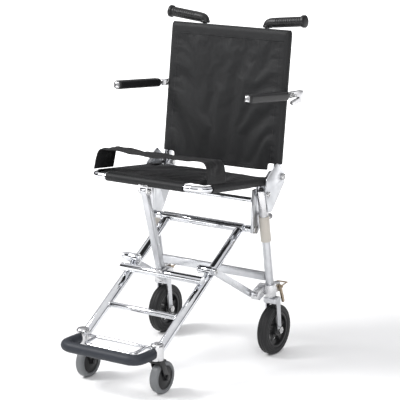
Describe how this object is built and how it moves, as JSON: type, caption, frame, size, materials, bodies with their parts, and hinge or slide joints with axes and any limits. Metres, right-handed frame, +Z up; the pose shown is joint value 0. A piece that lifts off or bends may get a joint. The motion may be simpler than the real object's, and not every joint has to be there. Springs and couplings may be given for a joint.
{
  "type": "stair chair",
  "caption": "Folding stair chair on four wheels: black cloth seat and back on bright tubes, sloping front frame with casters and a foot bumper, push handles and flip-up armrests.",
  "frame": {"origin": "on the floor, in the middle of the width and of the whole length, from the bumper to the armrest hooks", "axes": "+Z up, the chair faces -Y, +X is the sitter's left"},
  "size_m": [0.404, 0.6072, 0.8393],
  "materials": {
    "chrome_tube": "polished tube",
    "satin_aluminium": "satin anodised",
    "cast_aluminium": "tumbled casting",
    "steel_fixings": "bright zinc plated",
    "bronze_wire": "dull coated wire",
    "clear_sleeve": "milky soft sleeve",
    "black_cloth": "coated nylon",
    "black_webbing": "heavy band",
    "black_rubber": "matt",
    "pad_plastic": "fine grain",
    "wheel_plastic": "moulded",
    "black_tyre": "solid tyre",
    "grey_tyre": "smooth grey tread",
    "bumper_foam": "dark skin foam",
    "grey_knob": "grey moulded"
  },
  "bodies": {
    "rear_frame": {"rear_leg_left": "satin_aluminium", "rear_leg_right": "satin_aluminium", "leg_sockets": "cast_aluminium", "leg_sleeves": "clear_sleeve", "side_plates": "satin_aluminium", "hinge_cheeks": "satin_aluminium", "wheel_forks": "satin_aluminium", "foot_castings": "cast_aluminium", "pivot_bolts": "steel_fixings", "seat_stops": "black_rubber", "under_seat_tube": "chrome_tube", "ladder_axle": "chrome_tube", "rear_cross_bar": "satin_aluminium"},
    "front_frame": {"ladder_tube_left": "chrome_tube", "ladder_tube_right": "chrome_tube", "ladder_top_tube": "chrome_tube", "knee_barrels": "chrome_tube", "wide_bar": "chrome_tube", "rung": "chrome_tube", "caster_housings": "cast_aluminium", "foot_bumper": "bumper_foam", "heel_loop": "chrome_tube"},
    "seat": {"seat_frame": "chrome_tube", "seat_sling": "black_cloth", "seat_belt": "black_webbing", "clevis": "cast_aluminium", "clevis_pin": "steel_fixings"},
    "prop": {"strut": "satin_aluminium", "strut_shoe": "cast_aluminium"},
    "back": {"back_frame": "chrome_tube", "back_cross_bar": "chrome_tube", "back_sling": "black_cloth", "arm_studs": "steel_fixings", "handle_sockets": "cast_aluminium"},
    "brace_left": {"brace_left": "satin_aluminium"},
    "arm_left": {"arm_pad_left": "pad_plastic", "arm_cap_left": "cast_aluminium", "arm_casting_left": "cast_aluminium"},
    "handle_left": {"handle_stem_left": "chrome_tube", "handle_grip_left": "black_rubber"},
    "brake_left": {"brake_lever_left": "bronze_wire"},
    "lock_left": {"lock_knob_left": "grey_knob"},
    "rear_wheel_left": {"rear_tyre_left": "black_tyre", "rear_hub_left": "wheel_plastic"},
    "caster_left": {"caster_fork_left": "wheel_plastic"},
    "caster_wheel_left": {"caster_tyre_left": "grey_tyre", "caster_core_left": "wheel_plastic"},
    "brace_right": {"brace_right": "satin_aluminium"},
    "arm_right": {"arm_pad_right": "pad_plastic", "arm_cap_right": "cast_aluminium", "arm_casting_right": "cast_aluminium"},
    "handle_right": {"handle_stem_right": "chrome_tube", "handle_grip_right": "black_rubber"},
    "brake_right": {"brake_lever_right": "bronze_wire"},
    "lock_right": {"lock_knob_right": "grey_knob"},
    "rear_wheel_right": {"rear_tyre_right": "black_tyre", "rear_hub_right": "wheel_plastic"},
    "caster_right": {"caster_fork_right": "wheel_plastic"},
    "caster_wheel_right": {"caster_tyre_right": "grey_tyre", "caster_core_right": "wheel_plastic"}
  },
  "joints": [
    {"name": "back_fold", "type": "hinge", "parent": "rear_frame", "child": "back", "pos_m": [0, 0.21893, 0.45], "axis": [1, 0, 0], "range_deg": [0, 64]},
    {"name": "seat_fold", "type": "hinge", "parent": "rear_frame", "child": "seat", "pos_m": [0, 0.15043, 0.418], "axis": [1, 0, 0], "range_deg": [-78, 0]},
    {"name": "prop_fold", "type": "hinge", "parent": "seat", "child": "prop", "pos_m": [0, -0.10457, 0.451], "axis": [1, 0, 0], "range_deg": [0, 68.36]},
    {"name": "front_fold", "type": "hinge", "parent": "rear_frame", "child": "front_frame", "pos_m": [0, 0.14243, 0.328], "axis": [1, 0, 0], "range_deg": [0, 46]},
    {"name": "brace_fold_left", "type": "hinge", "parent": "front_frame", "child": "brace_left", "pos_m": [-0.131, -0.00925, 0.25501], "axis": [1, 0, 0], "range_deg": [-26.12, 0]},
    {"name": "arm_flip_left", "type": "hinge", "parent": "back", "child": "arm_left", "pos_m": [-0.189, 0.24407, 0.64741], "axis": [-1, 0, 0], "range_deg": [0, 85]},
    {"name": "handle_swivel_left", "type": "hinge", "parent": "back", "child": "handle_left", "pos_m": [-0.092, 0.28236, 0.78568], "axis": [0, -0.1264, -0.992], "range_deg": [0, 90]},
    {"name": "brake_press_left", "type": "hinge", "parent": "rear_frame", "child": "brake_left", "pos_m": [-0.165, 0.22143, 0.172], "axis": [-1, 0, 0], "range_deg": [0, 20]},
    {"name": "lock_pull_left", "type": "slide", "parent": "rear_frame", "child": "lock_left", "axis": [0, 1, 0], "range_m": [0, 0.005], "stiffness_N_per_m": 400},
    {"name": "rear_wheel_spin_left", "type": "hinge", "parent": "rear_frame", "child": "rear_wheel_left", "pos_m": [-0.165, 0.20943, 0.0625], "axis": [1, 0, 0], "continuous": true},
    {"name": "caster_swivel_left", "type": "hinge", "parent": "front_frame", "child": "caster_left", "pos_m": [-0.108, -0.20957, 0.1], "axis": [0, 0, 1], "continuous": true},
    {"name": "caster_wheel_spin_left", "type": "hinge", "parent": "caster_left", "child": "caster_wheel_left", "pos_m": [-0.108, -0.19057, 0.039], "axis": [1, 0, 0], "continuous": true},
    {"name": "brace_fold_right", "type": "hinge", "parent": "front_frame", "child": "brace_right", "pos_m": [0.131, -0.00925, 0.25501], "axis": [1, 0, 0], "range_deg": [-26.12, 0]},
    {"name": "arm_flip_right", "type": "hinge", "parent": "back", "child": "arm_right", "pos_m": [0.189, 0.24407, 0.64741], "axis": [-1, 0, 0], "range_deg": [0, 85]},
    {"name": "handle_swivel_right", "type": "hinge", "parent": "back", "child": "handle_right", "pos_m": [0.092, 0.28236, 0.78568], "axis": [0, 0.1264, 0.992], "range_deg": [0, 90]},
    {"name": "brake_press_right", "type": "hinge", "parent": "rear_frame", "child": "brake_right", "pos_m": [0.165, 0.22143, 0.172], "axis": [-1, 0, 0], "range_deg": [0, 20]},
    {"name": "lock_pull_right", "type": "slide", "parent": "rear_frame", "child": "lock_right", "axis": [0, 1, 0], "range_m": [0, 0.005], "stiffness_N_per_m": 400},
    {"name": "rear_wheel_spin_right", "type": "hinge", "parent": "rear_frame", "child": "rear_wheel_right", "pos_m": [0.165, 0.20943, 0.0625], "axis": [1, 0, 0], "continuous": true},
    {"name": "caster_swivel_right", "type": "hinge", "parent": "front_frame", "child": "caster_right", "pos_m": [0.108, -0.20957, 0.1], "axis": [0, 0, 1], "continuous": true},
    {"name": "caster_wheel_spin_right", "type": "hinge", "parent": "caster_right", "child": "caster_wheel_right", "pos_m": [0.108, -0.19057, 0.039], "axis": [1, 0, 0], "continuous": true}
  ],
  "couplings": [
    {"joint": "prop_fold", "follows": "seat_fold", "ratio": -0.87},
    {"joint": "brace_fold_left", "follows": "front_fold", "ratio": -0.557},
    {"joint": "brace_fold_right", "follows": "front_fold", "ratio": -0.557}
  ]
}
